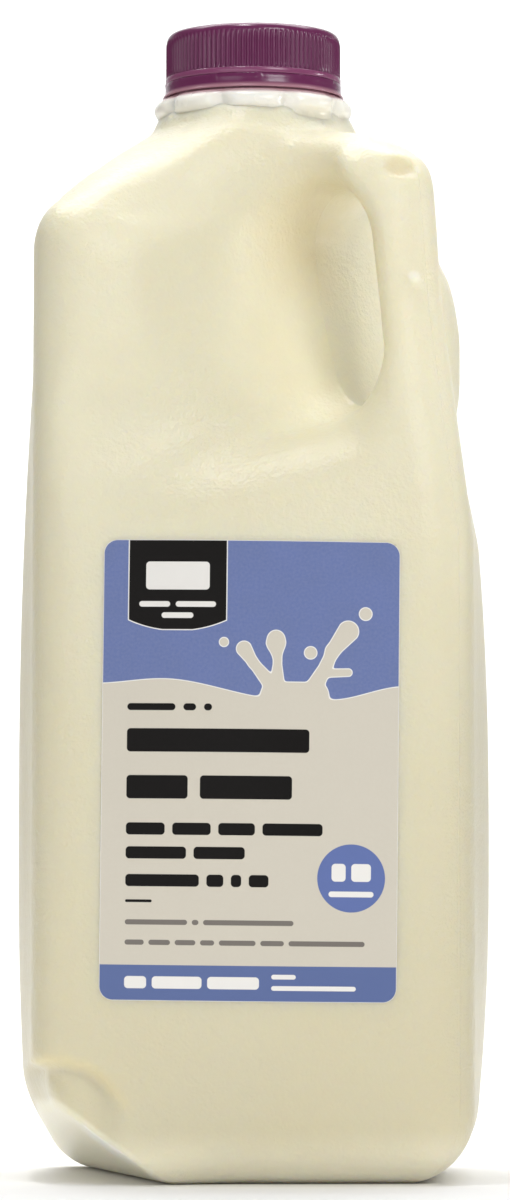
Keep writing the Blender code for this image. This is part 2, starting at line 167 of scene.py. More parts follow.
def body_field(x, y, z):
    """Four bulging walls, rounded posts and four slopes up to the neck."""
    x, y, raised = upright_place(x, y, z)
    side = np.where(x < 0.0, bulge_at(y, z, LEFT_SWELL), bulge_at(y, z, RIGHT_SWELL))
    front = bulge_at(x, z, FRONT_SWELL)
    walls = both(np.abs(x) - HALF_WIDTH - side, np.abs(y) - HALF_WIDTH - front, POST_RADIUS)
    raised = raised + SAG * ease(-x, *SAG_START) * (1.0 - ease(-x, *SAG_END))
    share = (raised - SHOULDER_Z) / (NECK_Z - SHOULDER_Z)
    half = np.maximum(HALF_WIDTH + (NECK_FOOT - HALF_WIDTH) * share, 1.0)
    corner = np.minimum(POST_RADIUS + (NECK_FOOT - POST_RADIUS) * np.clip(share, 0.0, 1.0), half)
    over_x, over_y = np.abs(x) - half + corner, np.abs(y) - half + corner
    square = np.hypot(np.maximum(over_x, 0.0), np.maximum(over_y, 0.0))
    square += np.minimum(np.maximum(over_x, over_y), 0.0) - corner
    slope = math.cos(math.atan2(HALF_WIDTH - NECK_FOOT, NECK_Z - SHOULDER_Z))
    edge = SHOULDER_ROUND + (ARM_ROUND - SHOULDER_ROUND) * ease(x - y, *ARM_EDGE)
    return both(walls, square * slope, edge)


print("body field at the axis, halfway up:", body_field(*np.array([[0.0], [0.0], [HEIGHT / 2]])).round(1))

# %% [markdown]
# ## The grip
# The finger hole is cut square through the handle corner. Seen along the mould line it is an upright
# slot: the body's wall on one side, the handle's rounded inner side on the other, a floor that falls
# away to both sides of the jug, and a ceiling that opens up beside the neck. The wall draws back
# gently from the mould line, so that the mould halves can part.

# %% The slot's field
GRIP_TOP_Z, GRIP_FLOOR_Z, GRIP_FALL = 218.0, 168.0, 0.33
GRIP_WALL, GRIP_HANDLE = 19.0, 49.3
# The wall stands out more the lower it is, less so to the sides, and its draft and curve draw it back.
WALL_TOP_Z, WALL_SWELL, WALL_FADE = GRIP_TOP_Z - 4.0, 0.005, 25.0
WALL_DRAFT, WALL_CURVE = 0.04, 0.00142
HANDLE_CROWN, HANDLE_HALF, CROWN_LIMIT = 4.5, 10.0, -1.2
HANDLE_SLANT, HANDLE_SLANT_Z = 0.14, 180.0
GRIP_FLARE, FLARE_AWAY, FLARE_ALONG = 9.0, (8.0, 26.0), (20.0, 46.0)
LOW_BEND, HANDLE_BEND, HIGH_BEND = 8.0, 15.0, 13.0


def grip_field(along, across, z):
    """Negative in the slot: between the body's wall and the handle, over the floor, under the ceiling."""
    away = np.abs(across)
    dip = np.maximum(WALL_TOP_Z - z, 0.0)
    swell = WALL_SWELL * dip**2 * np.exp(-away / WALL_FADE)
    wall = GRIP_WALL + swell - WALL_DRAFT * away - WALL_CURVE * away**2
    crown = HANDLE_CROWN * np.maximum(1.0 - (across / HANDLE_HALF) ** 2, CROWN_LIMIT)
    handle = GRIP_HANDLE - HANDLE_SLANT * np.maximum(z - HANDLE_SLANT_Z, 0.0) - crown
    floor = GRIP_FLOOR_Z - GRIP_FALL * away
    ceiling = GRIP_TOP_Z + GRIP_FLARE * ease(away, *FLARE_AWAY) * (1.0 - ease(along, *FLARE_ALONG))
    slot = both(both(wall - along, floor - z, LOW_BEND), along - handle, HANDLE_BEND)
    return both(slot, z - ceiling, HIGH_BEND)


HOLE_WIDTH = GRIP_HANDLE - HANDLE_CROWN - GRIP_WALL
print("finger hole in mm:", round(HOLE_WIDTH, 1), "by", GRIP_TOP_Z - GRIP_FLOOR_Z)


# %% [markdown]
# ## Dents and marks
# This jug has been knocked. Its lower left corner is pushed up into a flat facet that ends in a sharp
# crease on the front, with a soft crescent fold above it. The handle has an oval dish in its top
# corner and a small pip below. The facet is a plane that the body is cut back to. The others are added
# to the field: the pip stands out by a millimetre, and the fold and the dish go in by up to four.

# %% Facet, fold, dish and pip
FACET_SLOPE_X, FACET_SLOPE_Y, FACET_REACH, FACET_FLARE, FACET_SUNK = 0.77, 0.195, 23.9, 3.0, 2.0
FACET_EDGE, FACET_SOFT_EDGE, FACET_SOFT_X = 0.9, 5.9, (38.0, 47.0)
FOLD_X, FOLD_Z, FOLD_RADIUS, FOLD_DEPTH = -42.0, 11.2, 15.3, 3.6
FOLD_RIM, FOLD_SLOPE, FOLD_HOLLOW = 1.0, 3.4, 0.55
FOLD_FRONT, FOLD_LEFT = (15.0, 35.0), (26.0, 34.0)
DISH_X, DISH_Z, DISH_HALF_X, DISH_HALF_Z, DISH_DEPTH = 31.6, 219.9, 4.0, 2.4, 1.7
DISH_RIM, DISH_FRONT = (0.55, 1.15), (10.0, 20.0)
PIP_X, PIP_Z, PIP_SIZE, PIP_HEIGHT, PIP_FRONT = 34.9, 195.7, 1.5, 1.1, (20.0, 30.0)
RECESS_RADIUS, RECESS_DEPTH, RECESS_EDGE = 26.0, 2.6, 0.8
KNOCKED_OUT = (0.0, 30.0)
# The grip's rim is wide at its floor and ceiling, tight between them, and in between on the handle.
RIM_ROUND, RIM_TIGHT, RIM_HANDLE = 12.0, 4.0, 6.0
RIM_LOW, RIM_HIGH, RIM_ALONG, RIM_HANDLE_Z = (166.0, 182.0), (198.0, 212.0), (34.0, 44.0), (160.0, 182.0)
NECK_RADIUS, NECK_LOW, NECK_TOP, NECK_EDGE, NECK_FILLET = 20.9, 222.0, 235.6, 1.0, 3.2


def facet_field(x, y, z):
    """The plane that the knocked corner was pushed back to, which flares out to just below the base."""
    rise = FACET_SLOPE_X * -x + FACET_SLOPE_Y * -y - FACET_REACH
    rise = FACET_FLARE * np.logaddexp(0.0, (rise + FACET_SUNK) / FACET_FLARE) - FACET_SUNK
    return (rise - z) / math.sqrt(FACET_SLOPE_X**2 + FACET_SLOPE_Y**2 + 1.0)


def marks(x, y, z):
    """How far the skin stands in (positive) or out (negative) at the fold, the dish and the pip."""
    ring = np.hypot(x - FOLD_X, z - FOLD_Z)
    fold = ease(FOLD_RADIUS + FOLD_RIM - ring, 0.0, FOLD_SLOPE)
    fold = fold * (1.0 - FOLD_HOLLOW * np.clip(1.0 - ring / FOLD_RADIUS, 0.0, 1.0))
    fold = FOLD_DEPTH * fold * ease(-y, *FOLD_FRONT) * ease(-x, *FOLD_LEFT)
    oval = np.hypot((x - DISH_X) / DISH_HALF_X, (z - DISH_Z) / DISH_HALF_Z)
    dish = DISH_DEPTH * (1.0 - ease(oval, *DISH_RIM)) * ease(-y, *DISH_FRONT)
    pip = PIP_HEIGHT * np.exp(-((x - PIP_X) ** 2 + (z - PIP_Z) ** 2) / PIP_SIZE**2)
    return fold + dish - pip * ease(-y, *PIP_FRONT)


def jug_field(x, y, z):
    """The whole skin: body, heel, recess, facet, grip and neck foot, with the marks of use."""
    along, across = (x - y) / math.sqrt(2.0), -(x + y) / math.sqrt(2.0)
    heel = HEEL_RADIUS + (KNOCKED_HEEL - HEEL_RADIUS) * ease(-x, *KNOCKED_OUT)
    skin = both(body_field(x, y, z) + marks(x, y, z), -z, heel)
    dome = (RECESS_RADIUS**2 + RECESS_DEPTH**2) / (2.0 * RECESS_DEPTH)
    recess = np.sqrt(x**2 + y**2 + (z - RECESS_DEPTH + dome) ** 2) - dome
    skin = both(skin, -recess, RECESS_EDGE)
    facet_edge = FACET_EDGE + (FACET_SOFT_EDGE - FACET_EDGE) * ease(-x, *FACET_SOFT_X)
    skin = both(skin, facet_field(x, y, z), facet_edge)
    edge = RIM_ROUND - (RIM_ROUND - RIM_TIGHT) * ease(z, *RIM_LOW) * (1.0 - ease(z, *RIM_HIGH))
    edge = edge - (edge - RIM_HANDLE) * ease(along, *RIM_ALONG) * ease(z, *RIM_HANDLE_Z)
    skin = both(skin, -grip_field(along, across, z), edge)
    neck = both(np.hypot(x, y) - NECK_RADIUS, z - NECK_TOP, NECK_EDGE)
    return either(skin, both(neck, NECK_LOW - z, NECK_EDGE), NECK_FILLET)


print("facet's slopes:", FACET_SLOPE_X, FACET_SLOPE_Y, "and the fold's radius in mm:", FOLD_RADIUS)


# %% [markdown]
# ## From field to skin
# A sheet worked out from two numbers suits a cap or a label, but not this skin: the finger hole goes
# right through it. So the skin is found as the surface where the field is zero. Space is split into
# small cubes. Every cube that the surface crosses gets one point, at the middle of its crossings, and
# every cube edge that is crossed gives one quad between the four cubes round it. The points are then
# slid along the field's slope until they lie on the surface itself, and evened out a little.

# %% Surface nets
def surface_net(field, low, high, pitch):
    """Points and quads on field = 0 between two corners: one point for each crossed cube."""
    axes = [np.arange(a, b + pitch, pitch) for a, b in zip(low, high)]
    values = field(*np.meshgrid(*axes, indexing="ij"))
    inside = values < 0.0
    cells = tuple(n - 1 for n in values.shape)
    total, count = np.zeros(cells + (3,)), np.zeros(cells)
    edges = []
    for axis in range(3):
        here = [slice(None)] * 3
        there = [slice(None)] * 3
        here[axis], there[axis] = slice(0, -1), slice(1, None)
        a, b = values[tuple(here)], values[tuple(there)]
        crossed = inside[tuple(here)] != inside[tuple(there)]
        share = np.where(crossed, a / np.where(crossed, a - b, 1.0), 0.0)
        edges.append((crossed, inside[tuple(here)]))
        others = [k for k in range(3) if k != axis]
        for i in (0, 1):
            for j in (0, 1):
                pick = [slice(None)] * 3
                pick[others[0]] = slice(i, i + cells[others[0]])
                pick[others[1]] = slice(j, j + cells[others[1]])
                hit = crossed[tuple(pick)]
                count += hit
                total[..., axis] += share[tuple(pick)] * hit
                total[..., others[0]] += i * hit
                total[..., others[1]] += j * hit
    active = np.argwhere(count > 0)
    number = np.full(cells, -1)
    number[tuple(active.T)] = np.arange(len(active))
    middle = total[tuple(active.T)] / count[tuple(active.T)][:, None]
    points = np.array(low) + (active + middle) * pitch
    return points, net_quads(number, edges, cells)


def net_quads(number, edges, cells):
    """For every crossed edge, the four cells round it, turned so that the quad faces outwards."""
    quads = []
    for axis, (crossed, starts_inside) in enumerate(edges):
        u, v = (axis + 1) % 3, (axis + 2) % 3
        at = np.argwhere(crossed)
        at = at[(at[:, u] > 0) & (at[:, v] > 0) & (at[:, u] < cells[u]) & (at[:, v] < cells[v])]
        step_u, step_v = np.eye(3, dtype=int)[u], np.eye(3, dtype=int)[v]
        ring = [at, at - step_u, at - step_u - step_v, at - step_v]
        quad = np.stack([number[tuple(corner.T)] for corner in ring], axis=1)
        outwards = starts_inside[tuple(at.T)]
        quads.append(np.where(outwards[:, None], quad, quad[:, ::-1]))
    return np.concatenate(quads)


# %% Sliding the points onto the surface
def slope_of(field, points, reach=0.05):
    """The field's slope at each point, from its values a little to both sides along X, Y and Z."""
    slope = np.empty_like(points)
    for axis in range(3):
        step = np.zeros(3)
        step[axis] = reach
        slope[:, axis] = (field(*(points + step).T) - field(*(points - step).T)) / (2.0 * reach)
    return slope


def onto_surface(field, points, rounds=2):
    """Newton's rule: each point moves by field / slope^2 down the slope."""
    for _ in range(rounds):
        slope = slope_of(field, points)
        size = np.maximum((slope**2).sum(axis=1), 0.05)
        move = slope * (field(*points.T) / size)[:, None]
        points = points - np.clip(move, -1.0, 1.0)
    return points


def evened(points, quads, share=0.5):
    """Each point moves part of the way to the middle of its neighbours."""
    ends = np.concatenate([quads[:, [i, (i + 1) % 4]] for i in range(4)])
    count = np.bincount(ends[:, 0], minlength=len(points)) + np.bincount(ends[:, 1], minlength=len(points))
    near = np.empty_like(points)
    for axis in range(3):
        near[:, axis] = (np.bincount(ends[:, 0], points[ends[:, 1], axis], len(points))
                         + np.bincount(ends[:, 1], points[ends[:, 0], axis], len(points))) / count
    return points + share * (near - points)


def skin_from(field, pitch, low, high, rounds=4):
    """The zero surface of a field as points and quads, evened and slid back in turn."""
    points, quads = surface_net(field, low, high, pitch)
    for _ in range(rounds):
        points = onto_surface(field, evened(points, quads), rounds=1)
    return onto_surface(field, points), quads


# %% [markdown]
# ## Finishes
# A finish is a small network: a Principled shader, with noise for colour, for roughness and for relief.
# `Net` only saves typing: `net.math("ADD", a, b)` makes one Math node and returns its output.

# %% A short way to write node networks
class Net:
    """A material's node network, with one short call for each kind of node."""

    def __init__(self, name):
        self.material = bpy.data.materials.new(name)
        self.material.use_nodes = True
        self.tree = self.material.node_tree
        self.shader = self.tree.nodes["Principled BSDF"]

    def node(self, kind, inputs=(), output=0, **settings):
        made = self.tree.nodes.new(kind)
        for key, value in settings.items():
            setattr(made, key, value)
        for key, value in (inputs.items() if isinstance(inputs, dict) else enumerate(inputs)):
            self.put(made.inputs[key], value)
        return made.outputs[output]

    def put(self, socket, value):
        if isinstance(value, bpy.types.NodeSocket):
            self.tree.links.new(value, socket)
        else:
            socket.default_value = value

    def math(self, operation, *values, clamp=False):
        return self.node("ShaderNodeMath", values, operation=operation, use_clamp=clamp)

    def vector(self, operation, *values, output=0):
        return self.node("ShaderNodeVectorMath", values, output=output, operation=operation)

    def step(self, value, low, high):
        """0 at low, 1 at high, eased between them."""
        return self.node("ShaderNodeMapRange", {"Value": value, "From Min": low, "From Max": high},
                         interpolation_type="SMOOTHSTEP")

    def mix(self, share, a, b):
        made = self.tree.nodes.new("ShaderNodeMix")
        made.data_type = "RGBA"
        for name, value in (("Factor_Float", share), ("A_Color", a), ("B_Color", b)):
            socket = next(s for s in made.inputs if s.identifier == name)
            self.put(socket, (*value, 1.0) if isinstance(value, tuple) and len(value) == 3 else value)
        return next(s for s in made.outputs if s.identifier == "Result_Color")

    def noise(self, place, scale, detail=2.0, roughness=0.5):
        return self.node("ShaderNodeTexNoise", {"Vector": place, "Scale": scale, "Detail": detail,
                                                "Roughness": roughness})

    def place(self):
        return self.node("ShaderNodeTexCoord", output="Object")

    def axes(self, place):
        made = self.tree.nodes.new("ShaderNodeSeparateXYZ")
        self.tree.links.new(place, made.inputs[0])
        return made.outputs

    def relief(self, height, strength, distance, normal=None):
        inputs = {"Strength": strength, "Distance": distance, "Height": height}
        if normal is not None:
            inputs["Normal"] = normal
        return self.node("ShaderNodeBump", inputs)

    def tinted(self, colour, mask, amount, tone):
        """The colour goes that amount of the way to the tone where the mask is 1."""
        return self.mix(self.math("MULTIPLY", mask, amount), colour, tone)

    def near(self, place, centre, far, close):
        """0 at the far distance from a centre, 1 at the close one."""
        return self.step(self.vector("DISTANCE", place, centre, output=1), far, close)

    def set(self, **values):
        """Values or outputs for the shader's sockets, as base_color for Base Color."""
        for key, value in values.items():
            name = key.replace("_", " ").title().replace("Ior", "IOR")
            self.put(self.shader.inputs[name], value)


print("network helper ready")

# %% [markdown]
# ### Milky polythene
# The plastic itself is nearly clear. Its cream colour is the milk behind it, so light goes a few
# millimetres in before it comes back, which the shader's subsurface part does. The colour has a random
# warm mottle, with painted light and shade on top: painted shade darkens it towards the bottom, at the
# sides, in the top of the finger hole, on the fold's line and in the handle's dish; painted light makes
# the foot and the knocked facet paler, though the facet's plastic is partly paler of its own; and a
# painted highlight whitens the crease and the pip. The blown surface is satin and never quite flat: an
# uneven skin of waves about 3 mm long, a finer orange peel over it, and the thin raised line where the
# mould halves met.

# %% The jug's finish
CREAM_HIGH, CREAM_LOW_SHADE, FOOT_LIGHT = (0.815, 0.775, 0.59), (0.705, 0.655, 0.475), (0.88, 0.83, 0.65)
# The warm colour serves both as a random mottle in the milk's tone and as painted shade in the finger
# hole, on the fold and in the dish.
WARM_TONE_AND_SHADE, SIDE_SHADE = (0.76, 0.66, 0.40), (0.56, 0.505, 0.33)
KNOCKED_PALE_AND_LIT, HIGHLIGHT_WHITE, HOLE_SHADE = (0.88, 0.84, 0.68), (0.95, 0.94, 0.88), (0.67, 0.56, 0.32)
FOLD_PLACE = (FOLD_X * MM, 0.0, FOLD_Z * MM)
DISH_PLACE, PIP_PLACE = (DISH_X * MM, 0.0, DISH_Z * MM), (PIP_X * MM, 0.0, PIP_Z * MM)
HOLE_SHADE_PLACE = (0.0165, -0.0225, 0.2075)
MILK_GLOW, GLOW_DEPTH = (1.0, 0.8, 0.4), 0.006
# A pair in metres is where a mask is 0 and where it is 1.
HOLE_SHADE_REACH, FOOT_LIGHT_HEIGHTS, SIDE_SHADE_OUT = (0.022, 0.0), (0.013, 0.003), (0.044, 0.0505)
FOLD_SHADE_LINE, FOLD_SHADE_HEIGHTS, FRONT = (0.0024, 0.0), (0.014, 0.021), (-0.03, -0.04)
FACET_DEPTHS, FACET_LEFT = (0.0022, 0.0008), (-0.012, -0.02)
CREASE_DEPTHS, CREASE_OUT, CREASE_LEFT = (0.0005, 0.0001), (-0.039, -0.034), (-0.012, -0.018)
DISH_REACH, PIP_REACH, AHEAD = (0.0040, 0.0012), (0.0018, 0.0008), (-0.015, -0.025)
# The mould line is full up to the first of these and gone past the second.
SEAM_REACH = (0.00015, 0.0005)


def knock_shade_and_highlights(net, colour, x, y, z):
    """Warm painted shade on the fold's line, a pale facet that is partly paler knocked plastic and partly
    painted light, and a painted highlight on the crease where it ends.
    """
    # Painted shade: a warm band along the fold's line, where the skin turns down into the dent.
    ring = net.vector("DISTANCE", net.node("ShaderNodeCombineXYZ", (x, 0.0, z)), FOLD_PLACE, output=1)
    fold = net.step(net.math("ABSOLUTE", net.math("SUBTRACT", ring, FOLD_RADIUS * MM)), *FOLD_SHADE_LINE)
    front = net.step(y, *FRONT)
    fold = net.math("MULTIPLY", fold, net.math("MULTIPLY", net.step(z, *FOLD_SHADE_HEIGHTS), front))
    colour = net.tinted(colour, fold, 0.55, WARM_TONE_AND_SHADE)
    # The facet is paler: partly the knocked plastic's own paler tone, partly painted light where the facet
    # faces down into shade.
    plane = net.math("MULTIPLY_ADD", x, -FACET_SLOPE_X, net.math("MULTIPLY", y, -FACET_SLOPE_Y))
    plane = net.math("ABSOLUTE", net.math("SUBTRACT", net.math("SUBTRACT", plane, z), FACET_REACH * MM))
    facet = net.math("MULTIPLY", net.step(plane, *FACET_DEPTHS), net.step(x, *FACET_LEFT))
    colour = net.tinted(colour, facet, 0.8, KNOCKED_PALE_AND_LIT)
    # Painted highlight: a white line on the crease where the facet ends.
    crease = net.math("MULTIPLY", net.step(plane, *CREASE_DEPTHS), net.step(x, *CREASE_OUT))
    left = net.math("MULTIPLY", net.step(x, *CREASE_LEFT), front)
    return net.tinted(colour, net.math("MULTIPLY", crease, left), 0.8, HIGHLIGHT_WHITE)


def handle_shade_and_highlight(net, colour, x, y, z):
    """Warm painted shade in the oval dish and a pale painted highlight on the pip, on the handle's front
    only.
    """
    flat = net.node("ShaderNodeCombineXYZ", (x, 0.0, z))
    ahead = net.step(y, *AHEAD)
    # The dish is tinted warm as painted shade, and the pip pale as a painted highlight.
    dish = net.math("MULTIPLY", net.near(flat, DISH_PLACE, *DISH_REACH), ahead)
    pip = net.math("MULTIPLY", net.near(flat, PIP_PLACE, *PIP_REACH), ahead)
    return net.tinted(net.tinted(colour, dish, 0.6, WARM_TONE_AND_SHADE), pip, 0.35, HIGHLIGHT_WHITE)


def blown_relief(net, place, x, y):
    """Waves, orange peel and the mould line, each bump laid on the one before."""
    waves = net.noise(place, 300.0, 2.0, 0.45)
    peel = net.noise(place, 1250.0, 2.0, 0.55)
    seam = net.math("ABSOLUTE", net.math("ADD", x, y))
    line = net.math("SUBTRACT", 1.0, net.step(seam, *SEAM_REACH))
    bumped = net.relief(waves, 0.6, 0.0005)
    bumped = net.relief(peel, 0.8, 0.00025, bumped)
    return net.relief(line, 0.5, 0.0002, bumped)


def jug_finish():
    net = Net("milky_polythene")
    place = net.place()
    x, y, z = net.axes(place)
    cloud = net.noise(place, 28.0, 3.0)
    # Painted shade: the cream darkens towards the bottom, as if less light reached it there.
    colour = net.mix(net.step(z, 0.02, 0.19), CREAM_LOW_SHADE, CREAM_HIGH)
    colour = net.tinted(colour, net.step(cloud, 0.35, 0.75), 0.16, WARM_TONE_AND_SHADE)
    # Painted shade: a warm dark patch at the top of the finger hole, where the handle shades the wall.
    colour = net.tinted(colour, net.near(place, HOLE_SHADE_PLACE, *HOLE_SHADE_REACH), 0.8, HOLE_SHADE)
    # Painted light: the lowest few millimetres are paler, lifting the shade the floor casts on the foot.
    colour = net.mix(net.step(z, *FOOT_LIGHT_HEIGHTS), colour, FOOT_LIGHT)
    # Painted shade: darker on the side panels, where one looks along the wall.
    colour = net.tinted(colour, net.step(net.math("ABSOLUTE", x), *SIDE_SHADE_OUT), 0.7, SIDE_SHADE)
    colour = knock_shade_and_highlights(net, colour, x, y, z)
    colour = handle_shade_and_highlight(net, colour, x, y, z)
    net.set(base_color=colour, roughness=net.math("MULTIPLY_ADD", cloud, 0.10, 0.27),
            normal=blown_relief(net, place, x, y))
    net.set(subsurface_weight=0.6, subsurface_radius=MILK_GLOW, subsurface_scale=GLOW_DEPTH)
    net.set(specular_ior_level=0.34)
    return net.material


POLYTHENE = jug_finish()
print("finish:", POLYTHENE.name)

# %% The skin
# Cubes of this many millimetres fill the box between the two corners.
PITCH = 1.25
LOW, HIGH = (-56.3, -56.4, -2.3), (56.5, 56.6, 239.0)
points, quads = skin_from(jug_field, PITCH, LOW, HIGH)
points[:, 2] = np.maximum(points[:, 2], 0.0)
solid_piece("jug_skin", points, quads, POLYTHENE, "jug")

# %% [markdown]
# ### The milk
# The milk is the same field, a wall's thickness further in, cut off level at the foot of the neck. It
# is hidden by the skin, so it has bigger cubes.

# %% Milk
WALL = 1.1
MILK_Z, MILK_EDGE = 230.0, 0.8
MILK_PITCH = 3.0


def milk_field(x, y, z):
    """The skin's field moved in by the wall, and cut off at the milk's level."""
    return both(jug_field(x, y, z) + WALL, z - MILK_Z, MILK_EDGE)


def milk_finish():
    net = Net("milk_white")
    place = net.place()
    tone = net.mix(net.noise(place, 40.0), (0.88, 0.85, 0.76), (0.91, 0.88, 0.80))
    net.set(base_color=tone, roughness=net.math("MULTIPLY_ADD", net.noise(place, 90.0), 0.1, 0.2))
    net.set(subsurface_weight=0.5, subsurface_scale=0.003)
    return net.material


points, quads = skin_from(milk_field, MILK_PITCH, LOW, HIGH, rounds=2)
solid_piece("milk_fill", points, quads, milk_finish(), "milk")

# %% [markdown]
# ## Turned pieces
# The neck's collar, the cap and the band are round. Each is a closed outline of (radius, height)
# points carried round the axis, where the radius may also change with the angle: ribs on the cap,
# lobes on the collar, little bridges on the band.

# %% Carrying an outline round the axis
def arc_points(centre, radius, start_deg, end_deg, steps):
    """(radius, height) points on a circle's arc."""
    angle = np.radians(np.linspace(start_deg, end_deg, steps + 1))
    return np.stack([centre[0] + radius * np.cos(angle), centre[1] + radius * np.sin(angle)], axis=1)


def carried_round(outline, steps, change=None):
    """point(i, k) = (r cos a, r sin a, h) for outline point i and angle a.

    change(r, h, a), where one is given, returns the radius and the height to use instead.
    """
    angle = np.linspace(0.0, 2.0 * math.pi, steps, endpoint=False)
    radius = np.repeat(outline[:, :1], steps, axis=1)
    height = np.repeat(outline[:, 1:], steps, axis=1)
    if change:
        radius, height = change(radius, height, angle[None, :])
    points = np.stack([radius * np.cos(angle), radius * np.sin(angle), height], axis=-1)
    return points.reshape(-1, 3), ring_faces(len(outline), steps)


print("arc of 3 points:", arc_points((0, 0), 1, 0, 90, 2).round(2).tolist())

# %% [markdown]
# ### The neck and its lobed collar
# The tamper band clicks over a collar, which is cut into nine soft lobes. Above the milk the plastic
# has nothing behind it, so it is whiter and clearer than the body. Just under the band it is painted
# pink, as painted light that comes through the plum plastic of the band's lip.

# %% Neck
LOBES, LOBE_GAP_DEG = 9, 5.4
LOBE_DIP, LOBE_ROUND = 1.3, 0.6
BEAD_Z, BEAD_HALF = 237.4, 2.0
# Points nearer the axis than this are on the inner side of a neck, cap or band, and stay where they are.
BORE_RADIUS = 19.0
NECK_PALE, NECK_PINK_LIGHT = (0.2335, 0.2375), (0.2386, 0.2402)


def lobed(radius, height, angle):
    """The bead's radius dips between two lobes, and each lobe is a little rounder than the circle.

    The dip is LOBE_DIP exp(-(degrees / gap)^2) plus LOBE_ROUND (share of the half lobe)^2, and it fades
    above and below the bead by exp(-(dz / half)^2). Only points outside the bore move.
    """
    pitch = 2.0 * math.pi / LOBES
    turn = (angle + math.pi / 2 + pitch / 2) % pitch - pitch / 2
    away = np.degrees(pitch / 2 - np.abs(turn))
    bead = np.exp(-((height - BEAD_Z) / BEAD_HALF) ** 2) * (radius > BORE_RADIUS)
    dip = LOBE_DIP * np.exp(-((away / LOBE_GAP_DEG) ** 2))
    dip = dip + LOBE_ROUND * (2.0 * np.abs(turn) / pitch) ** 2
    return radius - dip * bead, height


def neck_outline():
    """Foot, waist, bead, mouth and bore, in a closed loop."""
    bead = arc_points((20.05, 237.5), 2.15, -45.0, 78.0, 14)
    outer = [(21.2, 231.0), (21.35, 233.8), (21.3, 234.8), (21.3, 235.4)]
    upper = [(20.3, 239.85), (20.0, 240.1), (19.4, 240.25), (18.5, 240.3), (18.3, 240.5)]
    inner = [(18.2, 252.6), (17.6, 253.0), (17.2, 252.6), (17.2, 231.0)]
    return np.array([*outer, *bead.tolist(), *upper, *inner])


def neck_finish():
    net = Net("clear_neck")
    place = net.place()
    z = net.axes(place)[2]
    tone = net.mix(net.step(z, *NECK_PALE), (0.82, 0.77, 0.60), (0.93, 0.90, 0.82))
    # Painted light: a pink tone just under the band, as light through the plum lip.
    tone = net.mix(net.step(z, *NECK_PINK_LIGHT), tone, (0.52, 0.28, 0.33))
    net.set(base_color=tone, normal=net.relief(net.noise(place, 500.0), 0.25, 0.0004))
    net.set(roughness=net.math("MULTIPLY_ADD", net.noise(place, 120.0), 0.12, 0.2))
    net.set(subsurface_weight=0.5, subsurface_radius=(1.0, 0.9, 0.75), subsurface_scale=0.003)
    return net.material


points, faces = carried_round(neck_outline(), 360, lobed)
solid_piece("neck_collar", points, faces, neck_finish(), "jug")

# %% [markdown]
# ### The cap
# A screw cap is moulded with about a hundred fine upright ribs for grip. They start under the rounded
# rim and stop on a plain strip that stands a little proud and is paler. The rib's section is a rounded
# ridge.

# %% Cap
RIBS, STEPS_PER_RIB = 104, 8
RIB_HEIGHT, RIB_POWER, RIB_MIDDLE = 0.52, 1.4, 0.6
RIB_FOOT, RIB_TOP = (245.0, 245.15), (252.2, 253.5)
CAP_STRIP = 0.2450
PLUM, PLUM_LIGHT, PLUM_STRIP, PLUM_LIP = (
    (0.118, 0.016, 0.070), (0.150, 0.026, 0.092), (0.25, 0.065, 0.155), (0.38, 0.18, 0.23))


def ribbed(radius, height, angle):
    """Outside, between the strip and the rim, the radius gains height (|cos(n a / 2)|^power - middle)."""
    ridge = np.abs(np.cos(RIBS * angle / 2.0)) ** RIB_POWER - RIB_MIDDLE
    where = ease(height, *RIB_FOOT) * (1.0 - ease(height, *RIB_TOP))
    return radius + RIB_HEIGHT * ridge * where * (radius > BORE_RADIUS), height


def cap_outline():
    """Skirt's foot, strip, ribbed wall, rounded rim, top, and back down inside."""
    rim = arc_points((17.55, 253.2), 1.8, 0.0, 90.0, 10)
    outer = [(18.7, 243.68), (19.6, 243.68), (19.66, 243.76), (19.66, 244.7), (19.55, 244.92)]
    wall = [(19.35, z) for z in [245.0, *np.linspace(245.15, 252.4, 9)]]
    top = [(12.0, 255.0), (6.0, 254.96), (1.0, 254.95), (0.3, 254.95), (0.05, 254.94)]
    inner = [(0.05, 253.9), (0.3, 253.9), (12.0, 253.9), (18.4, 253.8), (18.55, 253.6), (18.55, 244.2)]
    return np.array([*outer, *wall, *rim.tolist(), *top, *inner])


def plum_finish(name, strip=None, lip=None):
    """Plum plastic, a touch see-through: paler below the strip's or the lip's height, where it is thin."""
    net = Net(name)
    place = net.place()
    z = net.axes(place)[2]
    tone = net.mix(net.noise(place, 70.0, 3.0), PLUM, PLUM_LIGHT)
    if strip:
        tone = net.tinted(tone, net.step(z, strip + 0.0001, strip - 0.0002), 0.8, PLUM_STRIP)
    if lip:
        tone = net.mix(net.step(z, lip + 0.0004, lip - 0.0006), tone, PLUM_LIP)
    net.set(base_color=tone, roughness=net.math("MULTIPLY_ADD", net.noise(place, 200.0), 0.10, 0.18))
    net.set(normal=net.relief(net.noise(place, 700.0), 0.15, 0.0002), specular_ior_level=0.5)
    return net.material


points, faces = carried_round(cap_outline(), RIBS * STEPS_PER_RIB, ribbed)
solid_piece("cap_shell", points, faces, plum_finish("plum_cap", strip=CAP_STRIP), "screw_cap")

# %% [markdown]
# ### The tamper band
# Under the cap a plain hoop hangs on a dozen thin bridges, which break when the cap is first turned.
# Its lower edge flares into a thin lip, pale where light comes through.

# %% Band
BRIDGES, BRIDGE_HALF_DEG, BRIDGE_SOFT_DEG, BRIDGE_TURN = 12, 2.2, 0.4, 0.2
BRIDGE_OUT, BRIDGE_OUT_Z, BRIDGE_UP, BRIDGE_UP_Z = 0.12, 243.4, 0.05, 243.55
BAND_LIP = 0.2414


